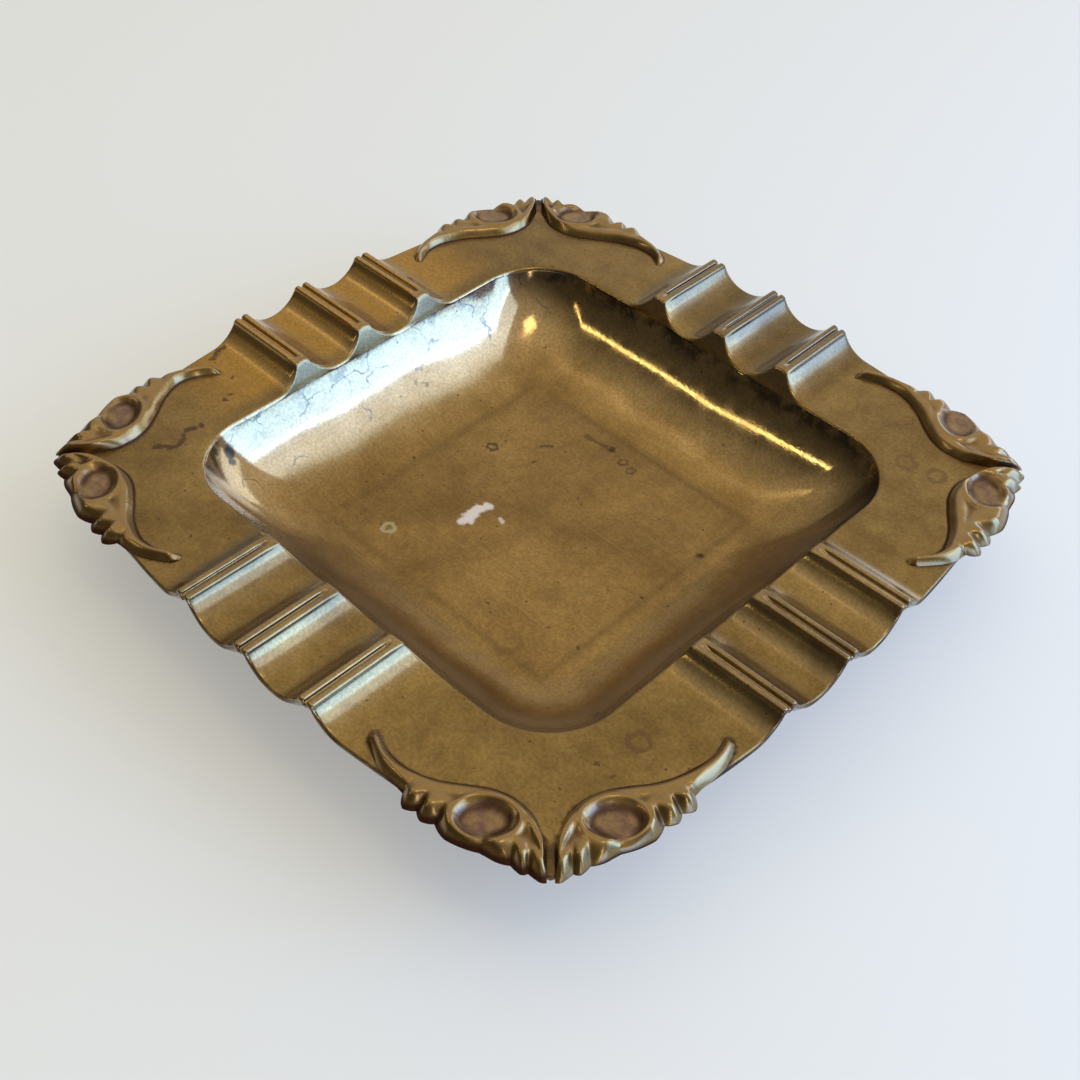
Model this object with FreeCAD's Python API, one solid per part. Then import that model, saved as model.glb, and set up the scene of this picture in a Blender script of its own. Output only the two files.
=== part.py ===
import FreeCAD, Part
import math
import os

from FreeCAD import Vector

# Square brass burner tray: a basin in a fluted rim, with two scroll sprays riveted to each corner.
# Millimetres. The origin is the middle of the base, +Z is up and the sides run along X and Y.

# Rim
half_side = 70.0
side_bow_radius = 300.0
rim_thickness = 1.7
rim_corner_radius = 1.6

# Basin
basin_half = 48.5
basin_corner_radius = 14.3
basin_depth = 16.0
basin_floor_half = 30.0
basin_floor_corner_radius = 9.0
basin_wall = 2.4
wall_foot_slope = 14.0
foot_inset = 3.0
foot_height = 0.6

# Ridges and flutes across the middle of each side
ridges_per_side = 3
ridge_pitch = 15.8
ridge_width = 3.4
ridge_height = 4.0
ridge_end_slope = 1.8
bead_rise = 0.6
bead_gap = 0.6

# Heights of a scroll spray, and the gap from its tail to the flutes
scroll_relief = 2.0
scroll_drop = 0.6
scroll_tail_gap = 1.0
eye_depth = 1.4

# Pegs that hold each spray: cast on, passed through the rim and peened beneath it
peg_diameter = 2.4
peg_clearance = 0.06
peg_head_diameter = 3.8
peg_head_height = 0.8
edge_clearance = 0.15

# Plan of a spray in shares of its length. A point is (from the corner, in from the edge of the rim), and
# a third number is how far the flank leans back there between its foot and the top face.
inner_curve = [
    (0.875, 0.092, 0.020), (0.768, 0.079, 0.024), (0.641, 0.104, 0.028), (0.510, 0.174, 0.030),
    (0.412, 0.218, 0.030), (0.306, 0.220, 0.030), (0.214, 0.187, 0.028),
]
tail_outer_curve = [(0.757, 0.003, 0.019), (0.856, 0.025, 0.019)]
tail_tip_arc = [(0.962, 0.067), (1.0, 0.113), (0.960, 0.131)]
tail_tip_centre = (0.958, 0.099)
tail_tip_narrowing = 0.5
groove_start_share = 0.117
groove_end_share = 0.01
groove_width_share = 0.031
groove_bevel_share = 0.009
eye_place = (0.33, 0.0467)
eye_length_share = 0.257
eye_width_share = 0.2257
eye_bevel_share = 0.0187
eye_turn = 80.0
peg_places = [(0.165, 0.062), (0.559, 0.073)]
# Lobes over the edge of the rim: two ribs at the corner, a low one, a broad one and two teeth
lobe_crests = [
    (0.0415, -0.0415, 0.075), (0.113, -0.0415, 0.057), (0.220, -0.044, 0.023),
    (0.389, -0.0726, 0.021), (0.537, -0.0674, 0.031), (0.633, -0.062, 0.026),
]
lobe_valleys = [
    (0.073, -0.0285, 0.072), (0.153, -0.0285, 0.047), (0.288, -0.031, 0.032),
    (0.490, -0.052, 0.049), (0.584, -0.047, 0.044), (0.682, -0.013, 0.013),
]

# Levels and sizes that follow from those above
floor_level = foot_height + basin_wall
rim_top = floor_level + basin_depth
rim_bottom = rim_top - rim_thickness
ridge_top = rim_top + ridge_height
bead_base = ridge_top - bead_rise
basin_run = basin_half - basin_floor_half
wall_foot_angle = math.radians(wall_foot_slope)
wall_lip_angle = 2 * math.atan2(basin_depth, basin_run) - wall_foot_angle
wall_arc_radius = basin_run / (math.sin(wall_lip_angle) - math.sin(wall_foot_angle))
flute_half = (ridge_pitch - ridge_width) / 2
flute_depth = bead_base - rim_top
flute_radius = (flute_half ** 2 + flute_depth ** 2) / (2 * flute_depth)
flute_sweep = 2 * math.atan2(flute_depth, flute_half)
fluted_half = ridges_per_side / 2 * ridge_pitch


def bowed_corner(growth):
    """Where two bowed sides meet: the root of x = y on both arcs."""
    offset = side_bow_radius - half_side
    return (math.sqrt(2 * (side_bow_radius + growth) ** 2 - offset ** 2) - offset) / 2


def rim_edge(along):
    """Distance from the middle to a bowed side, at a distance along that side."""
    return half_side - side_bow_radius + math.sqrt(side_bow_radius ** 2 - along ** 2)


corner_reach = bowed_corner(0)
scroll_length = corner_reach - fluted_half - scroll_tail_gap


def turned(shape, quarter):
    copy = shape.copy()
    copy.rotate(Vector(0, 0, 0), Vector(0, 0, 1), 90 * quarter)
    return copy


def prism(wire, height):
    return Part.Face(wire).extrude(Vector(0, 0, height))


def arc(first, middle, last):
    return Part.Arc(first, middle, last).toShape()


def bowed_prism(growth, bottom, top):
    """A block with the rim's bowed outline, grown outwards all round."""
    corner = bowed_corner(growth)
    middle = half_side + growth
    side = arc(Vector(corner, -corner, bottom), Vector(middle, 0, bottom), Vector(corner, corner, bottom))
    return prism(Part.Wire([turned(side, quarter) for quarter in range(4)]), top - bottom)


def rounded_square(half, radius, level):
    """Outline of four lines and four corner arcs."""
    flat = half - radius
    bulge = flat + radius * math.sqrt(0.5)
    line = Part.LineSegment(Vector(half, -flat, level), Vector(half, flat, level)).toShape()
    corner = arc(Vector(half, flat, level), Vector(bulge, bulge, level), Vector(flat, half, level))
    return Part.Wire([turned(edge, quarter) for quarter in range(4) for edge in (line, corner)])


def bowl(thickness):
    """The basin's hollow, or its outside if a thickness is given: one arc that rises from a slope."""
    steps = 6  # outlines that the surface is drawn through
    outlines = []
    for step in range(steps + 1):
        angle = wall_foot_angle + (wall_lip_angle - wall_foot_angle) * step / steps
        reach = wall_arc_radius * (math.sin(angle) - math.sin(wall_foot_angle))
        rise = wall_arc_radius * (math.cos(wall_foot_angle) - math.cos(angle))
        widening = (basin_corner_radius - basin_floor_corner_radius) * reach / basin_run
        radius = basin_floor_corner_radius + widening + thickness * math.sin(angle)
        half = basin_floor_half + reach + thickness * math.sin(angle)
        level = floor_level + rise - thickness * math.cos(angle)
        outlines.append(rounded_square(half, radius, level))
    return Part.makeLoft(outlines, True, False)


def square_foot():
    """The low square that the tray stands on, ground flat beneath the floor."""
    side = 2 * (basin_floor_half - foot_inset)
    return Part.makeBox(side, side, floor_level - basin_wall / 2, Vector(-side / 2, -side / 2, 0))


def lip_flare():
    """The hollow above the rim, which opens outwards so that the ridge ends lean back."""
    lip = rounded_square(basin_half, basin_corner_radius, rim_top)
    top = rounded_square(basin_half + ridge_end_slope, basin_corner_radius + ridge_end_slope, ridge_top)
    return Part.makeLoft([lip, top], True, True)


def flute_arc(centre, radius, start, end):
    """Arc across a side about a flute's axis. Angles are measured from straight down."""
    axis = rim_top + flute_radius
    angles = (start, (start + end) / 2, end)
    return arc(*[Vector(0, centre + radius * math.sin(a), axis - radius * math.cos(a)) for a in angles])


def bead_edges(place):
    """Two round beads with a narrow gap between them, on top of one ridge."""
    bead_width = (ridge_width - bead_gap) / 2
    edges = []
    for start in (place - ridge_width / 2, place + bead_gap / 2):
        points = [(start, bead_base), (start + bead_width / 2, ridge_top), (start + bead_width, bead_base)]
        edges.append(arc(*[Vector(0, along, level) for along, level in points]))
    left = Vector(0, place - bead_gap / 2, bead_base)
    right = Vector(0, place + bead_gap / 2, bead_base)
    edges.insert(1, Part.LineSegment(left, right).toShape())
    return edges


def flute_rows(radius, sweep):
    """Flutes from one end of the row to the other, of which the first and last are halves."""
    arcs = []
    for index in range(ridges_per_side + 1):
        start = 0 if index == 0 else -sweep
        end = 0 if index == ridges_per_side else sweep
        arcs.append(flute_arc(index * ridge_pitch - fluted_half, radius, start, end))
    return arcs


def fluted_block(reach, hollow_beneath):
    """The ridges and flutes of one side, run from inside the basin out to a given reach."""
    top = flute_rows(flute_radius, flute_sweep)
    for index in range(ridges_per_side):
        top += bead_edges((index + 0.5) * ridge_pitch - fluted_half)
    ends = [Vector(0, sign * fluted_half, rim_bottom) for sign in (-1, 1)]
    sides = [Part.LineSegment(end, end + Vector(0, 0, rim_thickness)).toShape() for end in ends]
    outer_radius = flute_radius + rim_thickness
    beneath = flute_rows(outer_radius, math.asin(ridge_pitch / 2 / outer_radius))
    if not hollow_beneath:
        beneath = [Part.LineSegment(*ends).toShape()]
    wire = Part.Wire(Part.sortEdges(top + sides + beneath)[0])
    block = Part.Face(wire).extrude(Vector(reach - basin_floor_half, 0, 0))
    block.translate(Vector(basin_floor_half, 0, 0))
    return block


def scroll_point(share, inset, level):
    """A point of the spray that lies along the +X side and ends at the corner of +X and +Y."""
    along = corner_reach - share * scroll_length
    return Vector(rim_edge(along) - inset * scroll_length, along, level)


def groove_point(share, bevel, level):
    """A point beside the groove that runs out along the corner's diagonal."""
    along = corner_reach - share * scroll_length
    offset = (groove_width_share / 2 + bevel) * scroll_length
    return Vector(along + offset * math.sqrt(2), along, level)


def lobe_point(share, inset, lean, rise, level):
    """A point of the lobes. Flanks lean along the diagonal at the corner, and straight in by the tail."""
    slant = 1 - share / lobe_valleys[-1][0]
    return scroll_point(share + slant * rise * lean, inset + rise * lean, level)


def spline(points):
    curve = Part.BSplineCurve()
    curve.interpolate(points)
    return curve.toShape()


def scroll_outline(rise, level):
    """Closed outline of a spray. A rise of 0 gives its foot, and 1 its narrower top face."""
    size = 1 - rise * tail_tip_narrowing
    tip = []
    for share, inset in tail_tip_arc:
        tip_share = tail_tip_centre[0] + size * (share - tail_tip_centre[0])
        tip_inset = tail_tip_centre[1] + size * (inset - tail_tip_centre[1])
        tip.append(scroll_point(tip_share, tip_inset, level))
    groove = rise * groove_bevel_share
    groove_start = groove_point(groove_start_share, groove, level)
    groove_end = groove_point(groove_end_share + rise * lobe_crests[0][2], groove, level)
    curve = [scroll_point(share, inset - rise * lean, level) for share, inset, lean in inner_curve]
    edges = [arc(*tip), spline([tip[2]] + curve + [groove_start])]
    edges.append(Part.LineSegment(groove_start, groove_end).toShape())
    start = groove_end
    for crest, valley in zip(lobe_crests, lobe_valleys):
        middle = lobe_point(*crest, rise, level)
        end = lobe_point(*valley, rise, level)
        edges.append(arc(start, middle, end))
        start = end
    outer = [scroll_point(share, inset + rise * lean, level) for share, inset, lean in tail_outer_curve]
    edges.append(spline([start] + outer + [tip[0]]))
    return Part.Wire(edges)


def eye_outline(bevel, level):
    """Oval of the sunk eye, with its length nearly along the side."""
    radii = [(share / 2 - bevel) * scroll_length for share in (eye_length_share, eye_width_share)]
    oval = Part.Ellipse(Vector(0, 0, 0), *radii).toShape()
    oval.rotate(Vector(0, 0, 0), Vector(0, 0, 1), eye_turn)
    oval.translate(scroll_point(*eye_place, level))
    return Part.Wire([oval])


def peg_cylinders(diameter, bottom, top):
    """Upright cylinders at both peg places of one spray."""
    feet = [scroll_point(share, inset, bottom) for share, inset in peg_places]
    return [Part.makeCylinder(diameter / 2, top - bottom, foot) for foot in feet]


def scroll_spray():
    """One spray: a bevelled plate with lobes over the edge of the rim, a sunk eye and two pegs."""
    top = rim_top + scroll_relief
    foot = scroll_outline(0, rim_top)
    spray = Part.makeLoft([foot, scroll_outline(1, top)], True, True)
    skirt_bottom = rim_top - scroll_drop
    skirt = prism(scroll_outline(0, skirt_bottom), scroll_drop)
    spray = spray.fuse(skirt.cut(bowed_prism(edge_clearance, skirt_bottom, rim_top)))
    eye_floor = top - eye_depth
    eye = Part.makeLoft([eye_outline(eye_bevel_share, eye_floor), eye_outline(0, top)], True, True)
    spray = spray.cut(eye)
    pegs = peg_cylinders(peg_diameter, rim_bottom, rim_top)
    heads = peg_cylinders(peg_head_diameter, rim_bottom - peg_head_height, rim_bottom)
    return spray.fuse(pegs + heads).removeSplitter()


def mirrored(shape):
    """The other spray of a pair, on the far side of the corner's diagonal."""
    return shape.mirror(Vector(0, 0, 0), Vector(1, -1, 0))


def tray():
    """Basin, rim, ridges and flutes in one casting, drilled for the pegs of the sprays."""
    plate = bowed_prism(0, rim_bottom, rim_top)
    upright = [edge for edge in plate.Edges if edge.BoundBox.ZLength > rim_thickness / 2]
    plate = plate.makeFillet(rim_corner_radius, upright)
    strip_corner = Vector(-half_side, -fluted_half, rim_bottom)
    strip = Part.makeBox(2 * half_side, 2 * fluted_half, rim_thickness, strip_corner)
    corners = plate.cut([strip, turned(strip, 1)])
    limit = bowed_prism(0, rim_bottom, ridge_top)
    rest = fluted_block(half_side, True).common(limit)
    root = fluted_block(basin_half + basin_wall, False)
    sides = [turned(block, quarter) for quarter in range(4) for block in (rest, root)]
    body = corners.fuse(sides + [bowl(basin_wall), square_foot()]).cut(bowl(0).fuse(lip_flare()))
    holes = peg_cylinders(peg_diameter + 2 * peg_clearance, rim_bottom, rim_top)
    holes += [mirrored(hole) for hole in holes]
    return body.cut([turned(hole, quarter) for quarter in range(4) for hole in holes]).removeSplitter()


def save(shape, name):
    solid = shape.Solids[0]
    print(name, "solids", len(shape.Solids), "valid", shape.isValid(), "volume", round(solid.Volume, 1))
    shape.exportStep("parts/" + name + ".step")


os.makedirs("parts", exist_ok=True)
save(tray(), "tray")
spray = scroll_spray()
twin = mirrored(spray)
scroll_names = [
    ("scroll_right_front", "scroll_right_back"),
    ("scroll_back_right", "scroll_back_left"),
    ("scroll_left_back", "scroll_left_front"),
    ("scroll_front_left", "scroll_front_right"),
]
for quarter, (name, twin_name) in enumerate(scroll_names):
    save(turned(spray, quarter), name)
    save(turned(twin, quarter), twin_name)
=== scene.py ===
# %% [markdown]
# # An aged brass incense burner tray
#
# The object is a square brass dish: a basin in a broad rim, three pairs of beads with flutes between
# them across each side, and two scroll sprays on each corner. The imported CAD model is the frame that
# everything here is fitted to.

import bpy
import numpy as np
from mathutils import Matrix, Vector


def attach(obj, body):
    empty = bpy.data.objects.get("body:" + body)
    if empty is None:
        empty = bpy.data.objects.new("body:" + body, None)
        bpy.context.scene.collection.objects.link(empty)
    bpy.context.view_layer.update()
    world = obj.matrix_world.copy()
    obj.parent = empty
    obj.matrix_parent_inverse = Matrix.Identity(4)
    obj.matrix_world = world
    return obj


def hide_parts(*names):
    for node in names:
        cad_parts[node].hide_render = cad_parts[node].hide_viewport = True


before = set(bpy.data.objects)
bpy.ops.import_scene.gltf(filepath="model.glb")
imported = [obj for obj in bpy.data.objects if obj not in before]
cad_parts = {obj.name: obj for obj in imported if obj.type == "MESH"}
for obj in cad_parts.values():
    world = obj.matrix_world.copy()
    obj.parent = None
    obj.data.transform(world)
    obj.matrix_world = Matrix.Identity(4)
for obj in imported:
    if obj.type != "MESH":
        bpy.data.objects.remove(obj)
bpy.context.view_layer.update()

# %% [markdown]
# ## Sizes
#
# Blender works in metres, but a brass founder thinks in millimetres, so every size of the tray is in
# millimetres and is turned to metres where a mesh or a pattern is made. The origin is the middle of
# the base and the sides of the tray run along X and Y.

# %% Sizes of the casting, in millimetres
MM = 0.001
half_side, side_bow_radius = 70.0, 300.0
floor_level, rim_top, rim_bottom = 3.0, 19.0, 17.3
lip_half, lip_radius = 48.5, 14.3
floor_half, floor_radius = 30.0, 9.0
wall_thickness = 2.4
ridge_pitch, flute_half, flute_radius = 15.8, 6.2, 7.35
bead_base, bead_width, bead_rise, gap_depth = 3.4, 1.4, 0.62, 0.12
fluted_half = 1.5 * ridge_pitch
wall_foot = np.radians(14.0)
ridge_end_run, ridge_end_rise = 1.8, 4.0

# What follows from them: the arc of the wall, the slope of the ridge ends and the rim's corner
basin_run, basin_depth = lip_half - floor_half, rim_top - floor_level
wall_lip = 2 * np.arctan2(basin_depth, basin_run) - wall_foot
wall_radius = basin_run / (np.sin(wall_lip) - np.sin(wall_foot))
wall_length = wall_radius * (wall_lip - wall_foot)
ridge_end_turn = np.arctan2(ridge_end_rise, ridge_end_run)
bow_offset = side_bow_radius - half_side
corner_reach = (np.sqrt(2 * side_bow_radius ** 2 - bow_offset ** 2) - bow_offset) / 2
print("wall arc radius", round(wall_radius, 2), "mm, slope at the lip", round(np.degrees(wall_lip), 1))
print("rim corner at", round(corner_reach, 2), "mm")

# %% [markdown]
# ## Four small curves
#
# Most forms here are blends. `ease` climbs smoothly from 0 to 1 between two places, `shoulder` is the
# quarter-round flank of a raised form, and `through` draws one smooth line through a few given points,
# as a bent spline does on a pattern maker's bench. `rim_edge` is the tray's own bowed side.

# %% Curves that the shapes are made of
def ease(low, high, value):
    """Smooth step: 3t^2 - 2t^3, where t is the share of the way from low to high."""
    t = np.clip((value - low) / (high - low), 0, 1)
    return t * t * (3 - 2 * t)


def shoulder(distance, width, power):
    """Rounded flank: 1 - (1 - t)^power, where t is the distance from the foot over the width."""
    return 1 - (1 - np.clip(distance / width, 0, 1)) ** power


def through(points, at):
    """Cubic curve through points, with each slope taken from the neighbours on both sides."""
    x, y = np.array(points, float).T
    slope = np.gradient(y, x)
    k = np.clip(np.searchsorted(x, at) - 1, 0, len(x) - 2)
    width = x[k + 1] - x[k]
    t = np.clip((at - x[k]) / width, 0, 1)
    start = (1 + 2 * t) * (1 - t) ** 2 * y[k] + t * (1 - t) ** 2 * width * slope[k]
    end = t * t * (3 - 2 * t) * y[k + 1] + t * t * (t - 1) * width * slope[k + 1]
    return start + end


def rim_edge(along):
    """Distance from the middle to a bowed side: an arc of the bow radius about a far centre."""
    return np.sqrt(side_bow_radius ** 2 - along ** 2) - bow_offset


print("rim edge at the middle and at the corner:", rim_edge(0.0), round(rim_edge(corner_reach), 2))

# %% [markdown]
# ## A mesh from rings
#
# Each piece is a stack of closed rings of points, which numpy works out as whole arrays. Neighbouring
# rings are joined by four-sided faces, and the first and last ring close in one point. A mirrored
# piece would come out inside out, so the volume is measured and the faces are turned when it is
# negative. This is quicker than building faces one by one, and the result has no open seams.

# %% Ring mesher
def ring_faces(rows, columns, first):
    """Quads between rings, and triangles from the end rings to the two poles after them."""
    index = first + np.arange(rows * columns).reshape(rows, columns)
    beside = np.roll(index, -1, axis=1)
    quads = np.stack([index[:-1], index[1:], beside[1:], beside[:-1]], axis=-1).reshape(-1, 4)
    pole, last_pole = first + rows * columns, first + rows * columns + 1
    start = np.stack([np.full(columns, pole), index[0], beside[0]], axis=-1)
    end = np.stack([index[-1], np.full(columns, last_pole), beside[-1]], axis=-1)
    return quads, np.concatenate([start, end])


def with_poles(values):
    """Ring values as one column, with the mean of the first and of the last ring added."""
    flat = values.reshape(values.shape[0] * values.shape[1], -1)
    poles = [ring.mean(axis=1).reshape(1, -1) for ring in (values[:1], values[-1:])]
    return np.concatenate([flat, *poles])


def volume(points, quads, triangles):
    """Signed volume: a sixth of the triple products of all triangles."""
    halves = np.concatenate([quads[:, [0, 1, 2]], quads[:, [0, 2, 3]], triangles])
    a, b, c = points[halves[:, 0]], points[halves[:, 1]], points[halves[:, 2]]
    return np.einsum("ij,ij->i", a, np.cross(b, c)).sum() / 6


def ring_piece(name, shells, material, **attributes):
    """One object from shells of rings in millimetres, with a value for each point in each attribute."""
    points, faces, first = [], [], 0
    for rings in shells:
        local = with_poles(rings)
        quads, triangles = ring_faces(rings.shape[0], rings.shape[1], 0)
        turn = 1 if volume(local, quads, triangles) > 0 else -1
        faces += (first + quads[:, ::turn]).tolist() + (first + triangles[:, ::turn]).tolist()
        points.append(local)
        first += len(local)
    mesh = bpy.data.meshes.new(name)
    mesh.from_pydata(np.concatenate(points) * MM, [], faces)
    for key, values in attributes.items():
        layer = mesh.attributes.new(key, "FLOAT", "POINT")
        column = np.concatenate([with_poles(value) for value in values]).astype(np.float32).ravel()
        layer.data.foreach_set("value", column)
    mesh.polygons.foreach_set("use_smooth", np.ones(len(faces), bool))
    mesh.materials.append(material)
    piece = bpy.data.objects.new(name, mesh)
    bpy.context.scene.collection.objects.link(piece)
    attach(piece, "root")
    print(name, "points", first, "faces", len(faces))
    return piece


print("a tube of 3 rings of 4 points has", len(ring_faces(3, 4, 0)[0]), "quads")

# %% [markdown]
# ## Hand work
#
# The casting was filed and polished by hand, so no face is truly flat. A few long, low waves moved
# along the surface's own normals give reflections the slight swim that polished castings have. The
# waves are seeded, so each run gives the same tray.

# %% Slow waves over a surface
def ring_normals(rings):
    """Unit normals from the cross product of the differences along and across the rings."""
    across = np.gradient(rings, axis=0)
    along = np.roll(rings, -1, axis=1) - np.roll(rings, 1, axis=1)
    normal = np.cross(across, along)
    return normal / np.maximum(np.linalg.norm(normal, axis=-1, keepdims=True), 1e-9)


def waves(places, lengths, height, seed):
    """Sum of sines in random directions, one for each wave length; longer waves are higher."""
    draw = np.random.default_rng(seed)
    heading = draw.normal(size=(len(lengths), 3))
    heading /= np.linalg.norm(heading, axis=1, keepdims=True)
    phase = draw.uniform(0, 2 * np.pi, len(lengths))
    lengths = np.array(lengths)
    turns = places @ (heading / lengths[:, None]).T * 2 * np.pi + phase
    return height * (np.sin(turns) * (lengths / lengths.max())).sum(axis=-1)


print("two waves at the origin:", waves(np.zeros((1, 3)), (30, 20), 0.05, 1).round(3), "mm")

# %% [markdown]
# ## Brass
#
# Both finishes are cast brass that has aged indoors. Polished brass is a bright yellow mirror; years
# of handling and smoke leave a thin brown film on it, so it turns olive and its gloss softens. The
# film is thinner where hands rub and thicker in the hollows. The materials are metal with colour,
# roughness and bump from noise patterns whose sizes are given in millimetres. One function adds a
# node with its settings and links, and three short ones name what most of the nodes here do.

# %% Node and colour helpers
def paint(code):
    """Linear colour of an sRGB hex value such as 8a6d3b."""
    value = np.array([int(code[k:k + 2], 16) for k in (0, 2, 4)]) / 255
    linear = np.where(value <= 0.04045, value / 12.92, ((value + 0.055) / 1.055) ** 2.4)
    return (*linear.tolist(), 1.0)


def add(tree, kind, inputs=None, **settings):
    """A new node with its settings; an input given as a socket is linked, and as a value is set."""
    node = tree.nodes.new(kind)
    for key, value in settings.items():
        setattr(node, key, value)
    for key, value in (inputs or {}).items():
        if isinstance(value, bpy.types.NodeSocket):
            tree.links.new(value, node.inputs[key])
        else:
            node.inputs[key].default_value = value
    return node


def span(tree, value, start, end, low=0.0, high=1.0):
    """The value carried from the range start to end over to low to high, and held at both ends."""
    return add(tree, "ShaderNodeMapRange", {0: value, 1: start, 2: end, 3: low, 4: high}).outputs[0]


def reckon(tree, operation, one, other=0.0):
    """The product, sum, larger or other result of one or two numbers."""
    return add(tree, "ShaderNodeMath", {0: one, 1: other}, operation=operation).outputs[0]


def blend(tree, share, one, other):
    """A colour that goes from one to the other as the share goes from 0 to 1."""
    return add(tree, "ShaderNodeMixRGB", {0: share, 1: one, 2: other}).outputs[0]


def grey(level):
    """A level, such as a roughness, as a colour that can be blended."""
    return (level, level, level, 1.0)


def per_mm(size):
    """Texture scale, in repeats per metre, that gives a pattern of this size in millimetres."""
    return 1 / (size * MM)


def blank(name):
    """An empty node material and its tree."""
    material = bpy.data.materials.new(name)
    material.use_nodes = True
    material.node_tree.nodes.clear()
    return material, material.node_tree


print("old brass in linear light:", np.round(paint("8a6d3b")[:3], 3))

# %% [markdown]
# ### Tray brass
#
# The rim has an even olive film. The basin was wiped more often, so its wall is barer, and the floor
# carries a dull brown film of ash and smoke. Painting this by hand would need a picture for each
# face; noise in the object's own millimetres covers every face and has no seams. What differs from
# place to place is blended by height and by side.

# %% Film on the tray
tray_brass, t = blank("aged_cast_brass_tray")
place = add(t, "ShaderNodeTexCoord").outputs["Object"]
apart = add(t, "ShaderNodeSeparateXYZ", {0: place}).outputs
height = apart["Z"]

# Broad clouds of film, finer mottling, and grit, from 26 mm down to half a millimetre
cloud = add(t, "ShaderNodeTexNoise", {
    "Vector": place, "Scale": per_mm(26), "Detail": 4.0, "Roughness": 0.6}).outputs[0]
mottle = add(t, "ShaderNodeTexNoise", {
    "Vector": place, "Scale": per_mm(5), "Detail": 5.0, "Roughness": 0.65}).outputs[0]
grit = add(t, "ShaderNodeTexNoise", {"Vector": place, "Scale": per_mm(0.55), "Detail": 2.0}).outputs[0]
film = add(t, "ShaderNodeMath", {0: mottle, 1: 0.5, 2: cloud}, operation="MULTIPLY_ADD").outputs[0]
film = span(t, film, 0.57, 0.93)

# Olive on the rim, brown on the floor, and barer, paler metal on the wall between
rim_colour = blend(t, film, paint("644c22"), paint("886d3a"))
floor_colour = blend(t, film, paint("6e5226"), paint("8e703c"))
wall_colour = blend(t, film, paint("8f7242"), paint("a88d60"))
in_basin = span(t, height, 18.9 * MM, 18.5 * MM)
on_floor = span(t, height, 9.5 * MM, 3.2 * MM)
colour = blend(t, on_floor, wall_colour, floor_colour)
colour = blend(t, in_basin, rim_colour, colour)
print("nodes for the film", len(t.nodes))

# %% [markdown]
# On the left side, across its flutes, a deeper gold than the bare brass is painted, as a painted reflection
# of warm light.
# Fine grit then darkens and lightens everything, because pores and dust break up any even colour.

# %% Painted gold reflection and grit
painted_gold_reflection = span(t, apart["X"], -50 * MM, -53 * MM, 0.0, 0.65)
for outside, inside in ((-38, -26), (40, 28)):
    painted_gold_reflection = reckon(t, "MULTIPLY", painted_gold_reflection, span(t, apart["Y"], outside * MM, inside * MM))
# painted reflection: the left flutes are made a deeper gold, as if they mirrored warm light
colour = blend(t, painted_gold_reflection, colour, paint("a2782a"))
grit_shade = span(t, grit, 0.36, 0.64, 0.82, 1.1)
colour = add(t, "ShaderNodeMixRGB", {0: 1.0, 1: colour, 2: grit_shade}, blend_type="MULTIPLY").outputs[0]
print("nodes with lacquer and grit", len(t.nodes))

# %% [markdown]
# Molten brass leaves small gas holes in a casting, and wiping leaves fine scratches on the floor. The
# holes are the middles of random cells, of which only some are open. The scratches are noise drawn
# out into lines 30 mm long, in two directions, one darker and one brighter than the film.

# %% Pits and scratches
cells = add(t, "ShaderNodeTexVoronoi", {"Vector": place, "Scale": per_mm(2.6)})
pit = span(t, cells.outputs["Distance"], 0.11, 0.04)
open_cell = add(t, "ShaderNodeSeparateColor", {0: cells.outputs["Color"]}).outputs[0]
pit = reckon(t, "MULTIPLY", pit, span(t, open_cell, 0.66, 0.68))
colour = blend(t, pit, colour, paint("3a2814"))
for angle, code in ((0.5, "4e3a1e"), (2.2, "a08450")):
    drawn = add(t, "ShaderNodeMapping", {
        "Vector": place, "Rotation": (0, 0, angle),
        "Scale": (per_mm(30), per_mm(0.6), per_mm(30))}).outputs[0]
    lines = add(t, "ShaderNodeTexNoise", {"Vector": drawn, "Scale": 1.0, "Detail": 3.0}).outputs[0]
    lines = reckon(t, "MULTIPLY", span(t, lines, 0.58, 0.74, 0.0, 0.22), on_floor)
    colour = blend(t, lines, colour, paint(code))
print("nodes with pits and scratches", len(t.nodes))

# %% [markdown]
# Shade is painted where the flat floor turns up into the wall, as a faint dark line. It lies where the
# larger of the distances from the middle, along X and along Y, is a little under half the floor's
# width. Its own middle is a millimetre or so off the tray's.

# %% Painted shade line round the floor
floor_line, line_breadth = 28.6, 1.3
across = [reckon(t, "ADD", apart[axis], shift * MM) for axis, shift in (("X", 1.5), ("Y", -1.0))]
across = [reckon(t, "ABSOLUTE", distance) for distance in across]
crease_shade = reckon(t, "MAXIMUM", across[0], across[1])
crease_shade = reckon(t, "ABSOLUTE", reckon(t, "SUBTRACT", crease_shade, floor_line * MM))
crease_shade = span(t, crease_shade, line_breadth * MM, 0.1 * MM, 0.0, 0.6)
crease_shade = reckon(t, "MULTIPLY", crease_shade, on_floor)
crease_shade = reckon(t, "MULTIPLY", crease_shade, cloud)
# painted shade: a faint dark line along the crease between floor and wall
colour = blend(t, crease_shade, colour, paint("4a3618"))
print("the line is", 2 * floor_line, "mm from side to side")
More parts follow.
